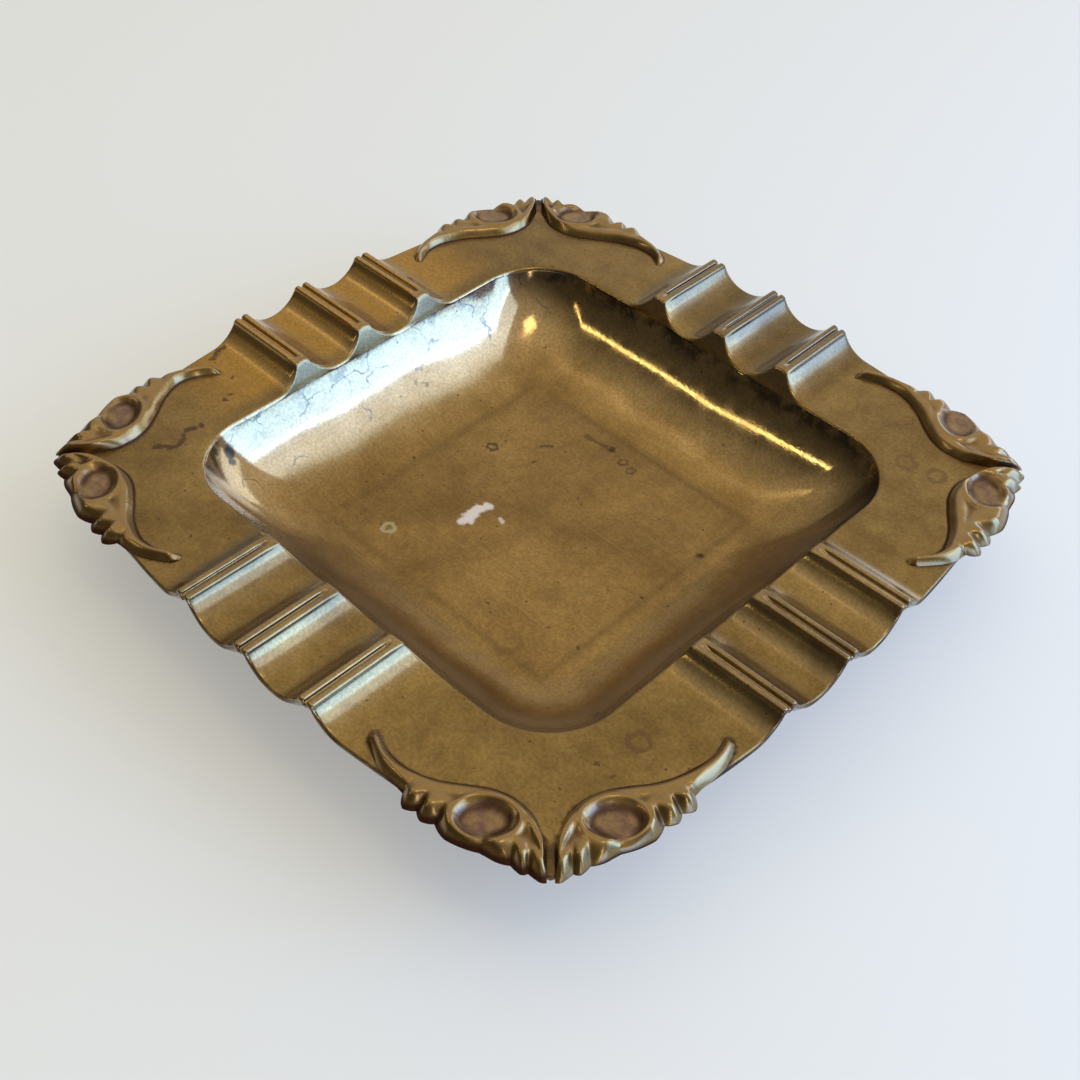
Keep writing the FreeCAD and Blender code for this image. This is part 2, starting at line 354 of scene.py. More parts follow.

# %% [markdown]
# On the left wall the lacquer has crackled, and by the lip dark patches are painted, as painted dark
# reflections. The cracks follow the edges of random cells, which are warped so that no crack is
# straight, and the patches are clouds with the same warp.

# %% Crackled lacquer and painted dark reflections on the left wall
lacquered = span(t, apart["X"], -36 * MM, -41 * MM)
on_wall = add(t, "ShaderNodeMath", {0: in_basin, 1: on_floor}, operation="SUBTRACT",
              use_clamp=True).outputs[0]
lacquered = reckon(t, "MULTIPLY", lacquered, on_wall)
warp = add(t, "ShaderNodeTexNoise", {"Vector": place, "Scale": per_mm(5), "Detail": 4.0}).outputs[1]
warp = add(t, "ShaderNodeVectorMath", {0: warp, "Scale": 8 * MM}, operation="SCALE").outputs[0]
warped = add(t, "ShaderNodeVectorMath", {0: place, 1: warp}, operation="ADD").outputs[0]
crackle = add(t, "ShaderNodeTexVoronoi", {"Vector": warped, "Scale": per_mm(11)},
              feature="DISTANCE_TO_EDGE").outputs["Distance"]
crackle = span(t, crackle, 0.026, 0.004, 0.0, 0.9)
crackle = reckon(t, "MULTIPLY", crackle, span(t, mottle, 0.46, 0.56))
cracks_and_dark_reflection = add(t, "ShaderNodeTexNoise", {"Vector": warped, "Scale": per_mm(9), "Detail": 4.0}).outputs[0]
by_lip = span(t, height, 13.5 * MM, 17 * MM)
cracks_and_dark_reflection = reckon(t, "MULTIPLY", span(t, cracks_and_dark_reflection, 0.56, 0.64, 0.0, 0.6), by_lip)
cracks_and_dark_reflection = reckon(t, "MAXIMUM", cracks_and_dark_reflection, crackle)
cracks_and_dark_reflection = reckon(t, "MULTIPLY", cracks_and_dark_reflection, lacquered)
# cracks in the lacquer, and painted dark reflections in patches by the lip
colour = blend(t, cracks_and_dark_reflection, colour, paint("4d4330"))
print("nodes with crackle", len(t.nodes))

# %% [markdown]
# Smoke has left patches of soot by the lip of the back wall and of the right corner, which carry painted
# shade as well, and a thin brown veil of painted shade lies in the flutes at the back and on the two near
# walls. Each fades along X, Y or the height, and where two meet the darker one counts.

# %% Soot and painted shade
soot_and_shade_zone = span(t, apart["Y"], 38 * MM, 44 * MM)
cornered = span(t, reckon(t, "ADD", apart["X"], apart["Y"]), 66 * MM, 78 * MM)
soot_and_shade_zone = reckon(t, "MAXIMUM", soot_and_shade_zone, cornered)
soot_and_shade_zone = reckon(t, "MULTIPLY", soot_and_shade_zone, by_lip)
soot_and_shade_zone = reckon(t, "MULTIPLY", soot_and_shade_zone, in_basin)
soot_and_painted_shade = reckon(t, "MULTIPLY", span(t, mottle, 0.42, 0.56, 0.25, 0.85), soot_and_shade_zone)
in_flutes = span(t, reckon(t, "ABSOLUTE", apart["X"]), 24.5 * MM, 22.5 * MM)
shade_veil = reckon(t, "MULTIPLY", span(t, apart["Y"], 50 * MM, 54 * MM, 0.0, 0.3), in_flutes)
soot_and_painted_shade = reckon(t, "MAXIMUM", soot_and_painted_shade, shade_veil)
for axis, foot, lip in (("X", 36, 46), ("Y", -36, -46)):
    shade_veil = reckon(t, "MULTIPLY", span(t, apart[axis], foot * MM, lip * MM, 0.0, 0.4), in_basin)
    soot_and_painted_shade = reckon(t, "MAXIMUM", soot_and_painted_shade, shade_veil)
# soot, and painted shade on the back wall, the right corner, the back flutes and the near walls
colour = blend(t, soot_and_painted_shade, colour, paint("241a0e"))
print("nodes with soot", len(t.nodes))

# %% [markdown]
# Drips, wet rings and ash have marked the tray in certain places. Each mark is a spot or a ring about
# a point, in millimetres, with an edge that noise makes uneven, because a drip never dries as a true
# circle.

# %% Marks on the tray
# (x, y, z, radius, breadth of the ring or 0 for a spot, colour, strength)
marks = [
    (55.6, -35.6, 19, 1.7, 0.5, "573a2a", 0.6), (46.8, 49.4, 19, 1.7, 0.5, "5c4426", 0.55),
    (53.0, 50.3, 19, 1.7, 0.5, "5c4426", 0.55), (53.9, -43.3, 19, 0.5, 0, "44301c", 0.7),
    (57.4, -43.4, 19, 0.5, 0, "44301c", 0.6), (64.3, -34.1, 19, 0.45, 0, "4a2418", 0.8),
    (53.1, -50.8, 19, 0.5, 0, "44301c", 0.7), (-59.3, -26.1, 19, 0.6, 0, "3a2412", 0.8),
    (-55.5, -29.4, 19, 0.5, 0, "3a2412", 0.8), (-55.0, -31.4, 19, 0.6, 0, "3a2412", 0.8),
    (-29.1, -58.3, 19, 0.4, 0, "3a2412", 0.8), (-19.6, -21.5, 3, 1.2, 0.45, "a09c7c", 0.7),
    (-22.6, 9.2, 3, 1.0, 0.4, "3a2814", 0.75), (-22.2, 12.2, 3, 0.4, 0, "2c1c0e", 0.8),
    (-13.6, 11.8, 3, 0.55, 0, "322010", 0.8), (-5.2, 25.8, 3, 0.85, 0, "2c1e10", 0.85),
    (-0.9, 24.8, 3, 0.8, 0.35, "46321c", 0.65), (1.6, 23.9, 3, 0.9, 0.35, "46321c", 0.65),
    (26.8, 15.6, 3, 0.8, 0, "281a0e", 0.85), (26.3, -0.2, 3, 0.6, 0, "322010", 0.75),
    (31.3, 1.3, 3.4, 0.5, 0, "322010", 0.7), (19.5, -17.9, 3, 0.5, 0, "322010", 0.7),
    (26.5, -17.7, 3, 0.5, 0, "322010", 0.7), (7.7, -21.6, 3, 0.45, 0, "322010", 0.65),
    (1.4, 9.7, 3, 0.35, 0, "322010", 0.7), (-31.0, -4.9, 3.3, 0.5, 0, "322010", 0.7),
    (-41.1, 8.2, 8, 0.6, 0, "2c1c0e", 0.8), (-43.3, 5.9, 9, 1.0, 0.4, "46361e", 0.5),
    (-45.8, -37.8, 15.4, 1.5, 0, "14110d", 0.95), (-44.5, -38.3, 14.1, 1.0, 0, "14110d", 0.9),
    (42.8, -31.0, 10.3, 1.1, 0, "1c120a", 0.9), (40.4, -35.9, 9.7, 0.5, 0, "1c120a", 0.9)]
# Runs of overlapping spots: (radius, colour, strength, level, the points that the run passes through)
runs = [
    (0.75, "43281a", 0.85, 19.0, [
        (-52.7, -48.6), (-51.9, -48.1), (-51.3, -47.5), (-50.8, -46.7), (-50.5, -45.8), (-50.4, -44.9),
        (-51.0, -44.0), (-52.1, -43.2), (-52.7, -42.0), (-52.5, -41.1), (-52.1, -40.4), (-51.9, -39.0)]),
    (0.8, "43281a", 0.85, 19.0, [(-66.7, -25.3), (-67.2, -24.1), (-67.7, -22.9), (-67.9, -21.8)]),
    (1.2, "cac4c8", 0.95, 3.0, [
        (-11.2, -10.0), (-11.5, -8.6), (-11.6, -7.3), (-11.8, -6.0), (-11.3, -5.2), (-10.8, -4.0),
        (-10.5, -8.9), (-10.8, -7.4)]),
    (0.65, "bab2ae", 0.9, 3.0, [(-6.7, -4.7), (-5.8, -4.9)]),
    (0.75, "33230f", 0.55, 3.0, [(-11.4, 25.3), (-10.2, 25.4), (-9.0, 25.5), (-7.7, 25.6), (-6.6, 25.6)]),
    (0.6, "2c1e10", 0.6, 3.0, [(-15.8, 16.6), (-15.2, 17.2), (-14.4, 17.9)]),
    (1.1, "5a4222", 0.35, 3.0, [(17.5, -28.2), (18.7, -27.2), (19.2, -25.6), (18.7, -24.2)]),
    (1.8, "604826", 0.3, 3.0, [(13.0, -13.1), (15.5, -13.0), (14.6, -10.2)])]
marks += [(*point, level, radius, 0, code, strength)
          for radius, code, strength, level, points in runs for point in points]

# A mark is full out to its core and fades away at its edge, as shares of its reach
mark_core, mark_edge = 0.6, 1.15
# Places that noise moves by up to a millimetre, so that the edges of marks come out uneven
uneven = add(t, "ShaderNodeTexNoise", {"Vector": place, "Scale": per_mm(1.4), "Detail": 3.0}).outputs[1]
uneven = add(t, "ShaderNodeVectorMath", {0: uneven, 1: (0.5, 0.5, 0.5)}, operation="SUBTRACT").outputs[0]
uneven = add(t, "ShaderNodeVectorMath", {0: uneven, "Scale": 2.0 * MM}, operation="SCALE").outputs[0]
uneven = add(t, "ShaderNodeVectorMath", {0: place, 1: uneven}, operation="ADD").outputs[0]


def marked(ground, mark):
    """The ground colour with one mark over it: a spot, or a ring, about the mark's middle."""
    x, y, z, radius, breadth, code, strength = mark
    middle = (x * MM, y * MM, z * MM)
    away = add(t, "ShaderNodeVectorMath", {0: uneven, 1: middle}, operation="DISTANCE").outputs["Value"]
    if breadth:
        away = reckon(t, "SUBTRACT", away, radius * MM)
        away = reckon(t, "ABSOLUTE", away)
    reach = breadth or radius
    cover = span(t, away, mark_edge * reach * MM, mark_core * reach * MM, 0.0, strength)
    return blend(t, cover, ground, paint(code))


for mark in marks:
    colour = marked(colour, mark)
print("marks", len(marks))

# %% [markdown]
# Last come dirt and painted shade, gloss and grain. The mesh carries how deep in a crevice each point
# is, and dirt with painted shade fills it. The wall and the flanks of the ridges are the glossiest, and
# a clear coat stands for the lacquer and wax that are left, thickest on those flanks and on the left wall.

# %% Dirt and painted shade, gloss and grain of the tray
crevice = add(t, "ShaderNodeAttribute", attribute_name="crevice").outputs["Fac"]
dirt_and_shade = reckon(t, "MULTIPLY", crevice, mottle)
dirt_and_shade = span(t, dirt_and_shade, 0.18, 0.5)
# dirt and painted shade darken the crevices, the outer edge and the rim beside each spray
colour = blend(t, dirt_and_shade, colour, paint("3c2414"))
smooth = span(t, mottle, 0.3, 0.7, 0.28, 0.38)
on_flank = span(t, height, 19.1 * MM, 19.8 * MM)
smooth = blend(t, on_flank, smooth, grey(0.2))
wall_gloss = span(t, mottle, 0.35, 0.65, 0.06, 0.15)
basin_gloss = blend(t, on_floor, wall_gloss, grey(0.36))
rough = blend(t, in_basin, smooth, basin_gloss)
rough = blend(t, dirt_and_shade, rough, grey(0.7))
coat = reckon(t, "MAXIMUM", on_flank, lacquered)
coat = span(t, coat, 0.0, 1.0, 0.3, 0.9)
bump = add(t, "ShaderNodeBump", {"Strength": 0.16, "Distance": 0.05 * MM, "Height": grit}).outputs[0]
shader = add(t, "ShaderNodeBsdfPrincipled", {
    "Base Color": colour, "Metallic": 1.0, "Roughness": rough, "Normal": bump,
    "Coat Weight": coat, "Coat Roughness": 0.16})
add(t, "ShaderNodeOutputMaterial", {"Surface": shader.outputs[0]})
print(tray_brass.name, "nodes", len(t.nodes))

# %% [markdown]
# ### Scroll brass
#
# The sprays stand proud, so cloths and hands rub their crowns bright, while dark dirt with painted shade,
# and a reddish wax, stay in the eyes, between the lobes and along the foot. The mesh carries how hollow
# each point is, with the painted shade, and the material reads that.

# %% Rubbed cast brass of the sprays
scroll_brass, t = blank("rubbed_cast_brass_scroll")
place = add(t, "ShaderNodeTexCoord").outputs["Object"]
hollow = add(t, "ShaderNodeAttribute", attribute_name="hollow").outputs["Fac"]
eye = add(t, "ShaderNodeAttribute", attribute_name="eye").outputs["Fac"]
mottle = add(t, "ShaderNodeTexNoise", {
    "Vector": place, "Scale": per_mm(3), "Detail": 5.0, "Roughness": 0.65}).outputs[0]
grit = add(t, "ShaderNodeTexNoise", {"Vector": place, "Scale": per_mm(0.5), "Detail": 2.0}).outputs[0]
colour = blend(t, mottle, paint("6a4e22"), paint("8f7036"))
wax = reckon(t, "MULTIPLY", eye, 0.9)
wax_colour = blend(t, span(t, mottle, 0.4, 0.62), paint("5c3c2c"), paint("86683a"))
colour = blend(t, wax, colour, wax_colour)
dirt_and_shade = span(t, hollow, 0.15, 0.8)
# dirt and painted shade in the hollows, along the foot and low on the outer flanks
colour = blend(t, dirt_and_shade, colour, paint("42281a"))
rough = span(t, mottle, 0.3, 0.7, 0.22, 0.34)
rough = blend(t, wax, rough, grey(0.5))
rough = blend(t, dirt_and_shade, rough, grey(0.65))
coat = span(t, dirt_and_shade, 0.0, 1.0, 0.8, 0.0)
bump = add(t, "ShaderNodeBump", {"Strength": 0.12, "Distance": 0.05 * MM, "Height": grit}).outputs[0]
shader = add(t, "ShaderNodeBsdfPrincipled", {
    "Base Color": colour, "Metallic": 1.0, "Roughness": rough, "Normal": bump,
    "Coat Weight": coat, "Coat Roughness": 0.16})
add(t, "ShaderNodeOutputMaterial", {"Surface": shader.outputs[0]})
print(scroll_brass.name, "nodes", len(t.nodes))

# %% [markdown]
# ## Where the sprays lie
#
# A spray lies along one side and ends at a corner. It is drawn on two numbers: the share of its
# length from the corner, and the distance in from the edge of the rim. By the corner the lines of
# equal share lean over to run along the corner's diagonal, because the ribs there do, and by the tail
# they run straight in. Lines that fan like this follow the lobes, so the lobes come out crisp on a
# plain grid.

# %% Fanned lines of a spray
tail_gap = 1.0
spray_length = corner_reach - fluted_half - tail_gap
first_share, fan_end = 0.018, 0.682


def fan(share):
    """How far lines lean: 1 is along the diagonal, at the groove, and 0 is straight in, by the tail."""
    return np.clip((fan_end - share) / (fan_end - first_share), 0, 1)


def spray_place(share, inset):
    """Plan of a point: down the side by its share, in by its inset, and leaning with the fan."""
    along = corner_reach - share * spray_length
    return rim_edge(along) - inset, along - fan(share) * inset


# Foot of the inner flank, its top edge, and the tail's outer foot, as (share, inset in mm)
inner_foot = [(first_share, 3.8), (0.068, 6.1), (0.153, 7.4), (0.297, 7.66), (0.453, 6.38), (0.634, 3.97),
              (0.768, 3.05), (0.875, 3.55), (0.96, 5.0), (1.0, 5.8)]
inner_top = [(first_share, 1.7), (0.073, 3.9), (0.145, 5.5), (0.22, 6.05), (0.346, 5.85), (0.475, 4.2),
             (0.61, 2.3), (0.74, 1.7), (0.875, 2.5), (0.96, 4.0), (1.0, 4.8)]
tail_foot = [(fan_end, -0.6), (0.757, -0.3), (0.856, 0.45), (0.94, 1.8), (1.0, 3.1)]
# Shares where the tail starts to curl, to taper and to end blunt, and how much the taper takes off
curl_start, taper_start, blunt_start, taper_loss = 0.72, 0.78, 0.972, 0.14


def tail_lines(share, curl):
    """Both edges of a spray; past the blunt start they close on their middle as a half circle does."""
    bend = curl * ease(curl_start, 1.0, share)
    inner, outer = through(inner_foot, share) + bend, through(tail_foot, share) + bend
    closing = np.clip((share - blunt_start) / (1 - blunt_start), 0, 1)
    taper = 1 - taper_loss * ease(taper_start, 1.0, share)
    middle, half = (inner + outer) / 2, (inner - outer) / 2 * taper
    rounded = half * np.sqrt(np.maximum(1 - closing ** 2, 0))
    tapered = share > taper_start
    return np.where(tapered, middle + rounded, inner), np.where(tapered, middle - rounded, outer)


print("spray length", round(spray_length, 2), "mm")

# %% [markdown]
# ## The tray
#
# The tray is one casting, so it is one closed surface. Its columns run round the tray, close together
# across the beads and wider apart in the flutes and corners, and its rows run from the middle of the
# floor up the wall, over the lip, out across the rim, round the edge and back beneath. Modelling it
# as a box with cuts would leave hard edges; here the lip, the beads and the edge are rounded by the
# profile itself.

# %% Columns round the tray
flute_points, bead_points, corner_points, past_bead = 10, 9, 41, 0.08
lip_flat = lip_half - lip_radius
lip_length = lip_flat + lip_radius * np.pi / 4
flute_turn = np.linspace(0, np.arcsin(flute_half / flute_radius), flute_points)
bead_turn = np.linspace(0, np.pi, bead_points)[1:]
half_step = np.concatenate([
    flute_radius * np.sin(flute_turn),
    flute_half + bead_width / 2 * (1 - np.cos(bead_turn)),
    [flute_half + bead_width + past_bead, ridge_pitch / 2]])
step = np.concatenate([half_step[:-1], ridge_pitch - half_step[:0:-1]])
fluted = np.concatenate([-fluted_half + ridge_pitch * k + step for k in range(3)] + [[fluted_half]])
corner = np.linspace(fluted_half, lip_length, corner_points)[1:]
column = np.concatenate([-corner[-2::-1], fluted, corner])
from_flute = np.abs((column + fluted_half + ridge_pitch / 2) % ridge_pitch - ridge_pitch / 2)
is_fluted = np.abs(column) < fluted_half


def flute_floor(distance):
    """Height over the rim in a flute: a circle's arc about an axis above it."""
    return flute_radius - np.sqrt(flute_radius ** 2 - np.minimum(distance, flute_half) ** 2)


def beaded_ridge(distance):
    """A flute's arc, then a half-round bead, then the gap between two beads."""
    across = (distance - flute_half) / bead_width * 2 - 1
    bead = bead_base + bead_rise * np.sqrt(np.clip(1 - across ** 2, 0, 1))
    raised = np.where(across < 1, bead, bead_base - gap_depth)
    return np.where(distance <= flute_half, flute_floor(distance), raised)


def plain_ridge_end(distance):
    """A flute's arc, then one plain crown over both beads: half an ellipse."""
    across = (ridge_pitch / 2 - distance) / (ridge_pitch / 2 - flute_half)
    crown = bead_base + bead_rise * np.sqrt(np.clip(1 - across ** 2, 0, 1))
    return np.where(distance <= flute_half, flute_floor(distance), crown)


ridge = np.where(is_fluted, beaded_ridge(from_flute), 0.0)
ridge_end = np.where(is_fluted, plain_ridge_end(from_flute), 0.0)
print("columns on one side", len(column), "highest bead", round(rim_top + ridge.max(), 2))

# %% [markdown]
# Seen from above, the tray is a set of outlines, one inside the other: the floor and the lip are
# rounded squares, and the rim has bowed sides and a small round at each corner. A column crosses all
# of them, so each outline is worked out for all columns at once.

# %% Outlines that the columns cross
side_turn = np.sign(column) * np.maximum(np.abs(column) - lip_flat, 0) / lip_radius
side_share = np.clip(column / lip_flat, -1, 1)


def basin_outline(half, radius):
    """Rounded square: the flat part goes by the column's share, and the corner by its turn."""
    flat = half - radius
    return flat + radius * np.cos(side_turn), flat * side_share + radius * np.sin(side_turn)


corner_round, search_length, search_steps = 1.6, 3.0, 400


def rim_outline():
    """Bowed side, whose columns spread out past the flutes, with a circle that rounds the corner."""
    past = np.maximum(np.abs(column) - fluted_half, 0)
    spread = (corner_reach - lip_length) / (lip_length - fluted_half) ** 2
    along = np.abs(column) + spread * past ** 2
    # The circle touches the side where its middle comes to lie on the corner's diagonal
    trial = np.linspace(corner_reach - search_length, corner_reach, search_steps)
    lean = np.arcsin(trial / side_bow_radius)
    miss = rim_edge(trial) - trial - corner_round * (np.cos(lean) - np.sin(lean))
    touch = np.interp(0, -miss, trial)
    lean = np.arcsin(touch / side_bow_radius)
    centre = touch - corner_round * np.sin(lean)
    turn = lean + (np.pi / 4 - lean) * np.clip((along - touch) / (corner_reach - touch), 0, 1)
    rounded = along > touch
    x = np.where(rounded, centre + corner_round * np.cos(turn), rim_edge(np.minimum(along, touch)))
    y = np.where(rounded, centre + corner_round * np.sin(turn), along)
    return x, np.sign(column) * y


lip_x, lip_y = basin_outline(lip_half, lip_radius)
edge_x, edge_y = rim_outline()
rim_breadth = np.hypot(edge_x - lip_x, edge_y - lip_y)
out_x, out_y = (edge_x - lip_x) / rim_breadth, (edge_y - lip_y) / rim_breadth
print("rim is", round(rim_breadth.min(), 2), "to", round(rim_breadth.max(), 2), "mm broad")

# %% [markdown]
# The floor is flat and the wall is one arc, so that it mirrors the room as a spoon does. Under the
# ridges the wall goes on past the lip's level, up the sloping ridge ends. The rows stop a little
# short of the lip, which is rounded next.

# %% Rows of the floor and the wall
def level_ring(half, radius, z):
    """A rounded square at one height."""
    x, y = basin_outline(half, radius)
    return np.stack([x, y, np.full_like(x, z)], axis=-1)


def wall_ring(length):
    """Points at a length up the wall's arc; past the lip's level they go on up the ridge ends."""
    turn = wall_foot + np.minimum(length, wall_length) / wall_radius
    reach = wall_radius * (np.sin(turn) - np.sin(wall_foot))
    x, y = basin_outline(floor_half + reach, floor_radius + (lip_radius - floor_radius) * reach / basin_run)
    past = np.maximum(length - wall_length, 0)
    shift = past * np.cos(ridge_end_turn)
    z = floor_level + wall_radius * (np.cos(wall_foot) - np.cos(turn)) + past * np.sin(ridge_end_turn)
    return np.stack([x + shift * out_x, y + shift * out_y, z], axis=-1)


lip_cut, lip_room = 0.75, 1.2
wall_steps, ridge_end_steps = 26, 10
below_lip = wall_length - lip_room * lip_cut
lip_foot = wall_length + ridge_end / np.sin(ridge_end_turn) - lip_cut
floor_shares = [0.12, 0.3, 0.5, 0.7, 0.85, 0.94, 0.98, 1.0]
floor_rows = [level_ring(share * floor_half, share * floor_radius, floor_level) for share in floor_shares]
wall_rows = [wall_ring(length + 0 * column) for length in np.linspace(0, below_lip, wall_steps)[1:]]
wall_rows += [wall_ring(below_lip + share * (lip_foot - below_lip))
              for share in np.linspace(0, 1, ridge_end_steps)[1:]]
print("floor rows", len(floor_rows), "wall rows", len(wall_rows))

# %% [markdown]
# Over the lip the rows turn from the slope of the wall to level. A ridge starts there as one plain
# crown, and its two beads part a little further out. At the rim's edge the rows turn down a quarter
# round, because a sharp edge would catch no light.

# %% Rows over the lip, across the rim and round its edge
outward = np.stack([out_x, out_y, 0 * column], axis=-1)
upward = np.array([0, 0, 1])
edge_round, bead_parting, steepening = 0.55, 0.125, 1.6
lip_steps, rim_steps, edge_steps = 7, 26, 6
edge = np.stack([edge_x, edge_y, rim_top + ridge], axis=-1)


def lip_ring(share):
    """The lip's round: an arc that turns from the slope of the wall, at 1, to level, at 0."""
    lean = wall_lip + (ridge_end_turn - wall_lip) * ease(0, steepening, ridge_end)
    radius = lip_cut / np.tan(lean / 2)
    across = radius * (np.sin(lean) - np.sin(lean * share))
    rise = radius * (np.cos(lean * share) - np.cos(lean))
    return wall_rows[-1] + outward * across[:, None] + upward * rise[:, None]


lip_rows = [lip_ring(share) for share in np.linspace(1, 0, lip_steps)[1:]]
rim_start = lip_rows[-1]


def rim_ring(share):
    """A share of the way from the lip to the edge; the two beads part in the first eighth of it."""
    ring = rim_start + (edge - edge_round * outward - rim_start) * share
    ring[:, 2] = rim_start[:, 2] + (edge[:, 2] - rim_start[:, 2]) * ease(0, bead_parting, share)
    return ring


def edge_ring(turn):
    """The upper round of the rim's edge: a quarter circle."""
    return edge - outward * edge_round * (1 - np.sin(turn)) - upward * edge_round * (1 - np.cos(turn))


rim_rows = [rim_ring(share) for share in np.linspace(0, 1, rim_steps)[1:]]
edge_rows = [edge_ring(turn) for turn in np.linspace(0, np.pi / 2, edge_steps)[1:]]
print("lip rows", len(lip_rows), "rim rows", len(rim_rows), "edge rows", len(edge_rows))

# %% [markdown]
# The underside isn't in the photograph. A founder keeps the metal even, so the basin's outside is its
# arc with the wall's thickness added, the flutes are hollow beneath, and a low square foot stands on
# the floor.

# %% Rows beneath
edge_face, least_face, hem = 0.3, 0.2, 0.9
foot_inset, foot_round, foot_middle_round = 3.0, 0.3, 0.2
bowl_steps, under_shares, flutes_end = 12, (0.3, 0.6, 0.85, 0.93), (0.8, 0.95)
under_arc = (flute_radius + rim_top - rim_bottom) ** 2 - from_flute ** 2
beneath = np.where(is_fluted, rim_top + flute_radius - np.sqrt(under_arc), rim_bottom)
under_edge = np.stack([edge_x, edge_y, beneath], axis=-1) - hem * outward
low_edge = edge.copy()
low_edge[:, 2] = np.maximum(edge[:, 2] - edge_round - edge_face, beneath + least_face)
bowl_centre = floor_level + wall_radius * np.cos(wall_foot)
bowl_radius = wall_radius + wall_thickness
bowl_turn = np.arccos((bowl_centre - rim_bottom) / bowl_radius)


def outer_bowl(turn):
    """The basin's outside: its arc with the wall's thickness added."""
    reach = wall_radius * (np.sin(turn) - np.sin(wall_foot))
    added = wall_thickness * np.sin(turn)
    rounding = floor_radius + (lip_radius - floor_radius) * reach / basin_run + added
    return level_ring(floor_half + reach + added, rounding, bowl_centre - bowl_radius * np.cos(turn))


def under_ring(share):
    """A share of the way from the edge to the bowl beneath the rim, where the flutes run out."""
    ring = under_edge + (outer_bowl(bowl_turn) - under_edge) * share
    ring[:, 2] = beneath + (rim_bottom - beneath) * ease(*flutes_end, share)
    return ring


foot_half = floor_half - foot_inset
foot_level = bowl_centre - bowl_radius * np.cos(wall_foot)
under_rows = [low_edge, under_edge] + [under_ring(share) for share in under_shares]
under_rows += [outer_bowl(turn) for turn in np.linspace(bowl_turn, wall_foot, bowl_steps)]
foot_rows = [level_ring(foot_half, foot_round, foot_level), level_ring(foot_half, foot_round, 0.0),
             level_ring(foot_half / 2, foot_middle_round, 0.0)]
print("rows beneath", len(under_rows) + len(foot_rows))

# %% [markdown]
# All four sides are alike, so the rows of one side are turned a quarter three times and joined end to
# end. A modifier could do this too, but an array of points can still be measured for dirt and painted
# shade.

# %% Four sides make the tray
side = np.stack(floor_rows + wall_rows + lip_rows + rim_rows + edge_rows + under_rows + foot_rows)
quarter_turn, half_turn = np.array([[0, -1, 0], [1, 0, 0], [0, 0, 1]]).T, np.diag([-1, -1, 1])
quarters = [np.eye(3), quarter_turn, half_turn, quarter_turn @ half_turn]
tray_rings = np.concatenate([side @ quarter for quarter in quarters], axis=1)
print("tray rows and columns", tray_rings.shape[:2])

# %% [markdown]
# ## Places of the sprays
#
# All eight sprays are one pattern, turned a quarter for each corner and mirrored about the corner's
# diagonal. On the real tray no two are alike, because each was finished by hand. Each has its own
# curl and length of tail, a place of its own for the eye, and more or less painted shade low on its outer
# flank. These are kept by name here, because the dirt and painted shade on the rim beside a spray follow
# them too.

# %% Places and differences of the sprays
mirror = np.array([[0, 1, 0], [1, 0, 0], [0, 0, 1]])
spray_nodes = [
    ("scroll_right_front", "scroll_right_back"), ("scroll_back_right", "scroll_back_left"),
    ("scroll_left_back", "scroll_left_front"), ("scroll_front_left", "scroll_front_right")]
# How far each tail curls in, in mm, how much of the full length it reaches, and painted shade on the outer
# flank
tails = {"scroll_front_right": (-0.8, 1.0, 0.2), "scroll_front_left": (0.4, 0.99, 0.8),
         "scroll_left_front": (1.2, 0.965, 0.8), "scroll_left_back": (1.8, 0.95, 0.5),
         "scroll_right_front": (1.8, 0.93, 0.2), "scroll_right_back": (0.4, 1.0, 0.3),
         "scroll_back_right": (0.2, 0.94, 0.3), "scroll_back_left": (0.4, 0.95, 0.3)}
# How far each eye lies from its place on the pattern, in mm
eye_shifts = {"scroll_front_right": (-0.7, -0.5), "scroll_front_left": (-0.8, -0.5),
              "scroll_left_front": (-1.4, 0.7), "scroll_left_back": (-0.5, -1.4),
              "scroll_right_front": (-2.0, 2.2), "scroll_right_back": (0.9, -2.4),
              "scroll_back_right": (-1.2, 1.2), "scroll_back_left": (-0.2, -0.4)}
placings = [(name, flip @ quarter) for quarter, names in zip(quarters, spray_nodes)
            for flip, name in zip((np.eye(3), mirror), names)]
print("sprays", len(placings))

# %% [markdown]
# Dirt gathers where a cloth can't reach, and shade is painted there with it: in the gap between two
# beads, at the foot of each ridge, on the outer edge, and on the rim beside a spray. The rim's points are
# folded onto one spray and their distance from it is worked out with the same fanned lines, so that the
# dirt and painted shade follow the scroll.

# %% Distance from a spray
# The tail is drawn out from this share on. Points short of the corner or past its diagonal are far away
tail_start, corner_start, diagonal_slack, far_away = 0.7, 40.0, 0.01, 99.0
# Rounds of substitution, and the inset that stands for the outer edge along the lobes
substitutions, past_lobes = 24, -3.0


def stretched(share, reach):
    """Share of the plan for a share of the spray, where the tail is drawn out or in to its reach."""
    drawn = tail_start + (share - tail_start) * (reach - tail_start) / (1 - tail_start)
    return np.where(share > tail_start, drawn, share)


def from_spray(points, curl, reach):
    """Distance outside a spray's foot, whose share at a point is found by repeated substitution."""
    x, y = points[..., 0], points[..., 1]
    along = y
    for _ in range(substitutions):
        share = (corner_reach - along) / spray_length
        inset = rim_edge(np.clip(along, 0, corner_reach)) - x
        along = (along + y + fan(share) * inset) / 2
    plan_share = (corner_reach - along) / spray_length
    drawn = tail_start + (plan_share - tail_start) * (1 - tail_start) / (reach - tail_start)
    share = np.where(plan_share > tail_start, drawn, plan_share)
    inner, outer = tail_lines(np.clip(share, first_share, 1), curl)
    outer = np.where(share < fan_end, past_lobes, outer)
    away = np.maximum.reduce([inset - inner, outer - inset, (share - 1) * spray_length])
    return np.where((x > corner_start) & (y > 0) & (x > y - diagonal_slack), away, far_away)


away = np.minimum.reduce([
    from_spray(tray_rings @ placing.T, *tails[name][:2]) for name, placing in placings])
print("points of the tray under or within 1 mm of a spray:", int((away < 1).sum()))
